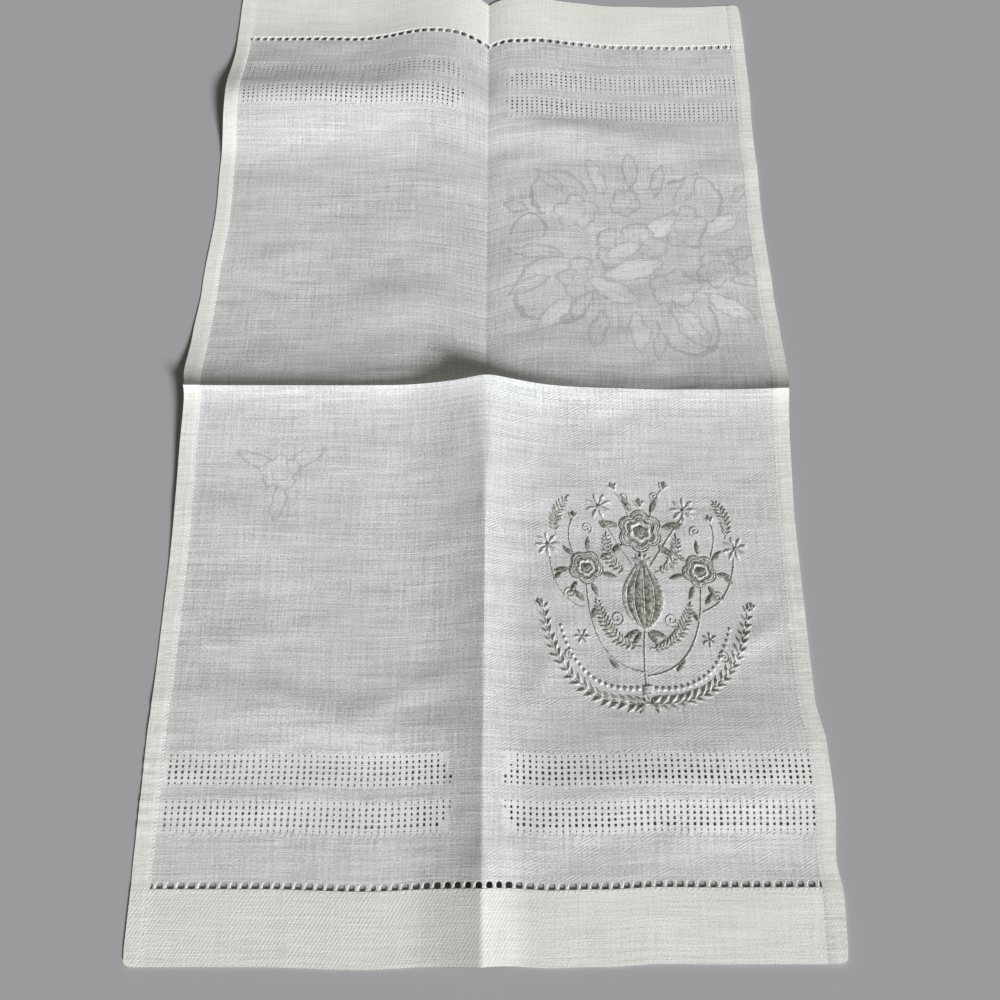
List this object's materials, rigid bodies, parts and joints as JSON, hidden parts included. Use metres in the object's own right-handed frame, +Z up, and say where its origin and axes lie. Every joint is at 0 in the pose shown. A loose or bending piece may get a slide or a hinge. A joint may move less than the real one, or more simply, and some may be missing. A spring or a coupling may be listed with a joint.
{
  "type": "hand towel",
  "caption": "Open linen hand towel lying flat with raised quarter-fold creases, wide end hems, narrow side hems, drawn-thread bands and an embroidered corner.",
  "frame": {"origin": "on the surface the towel lies on, under the middle of its bounding box", "axes": "+X across the towel's width to the right seen from the near end, +Y along its length to the far end, +Z up"},
  "size_m": [0.3568, 0.618, 0.0317],
  "materials": {
    "linen": "bleached linen damask, matt with a faint sheen"
  },
  "bodies": {
    "root": {"towel": "linen"}
  },
  "joints": []
}
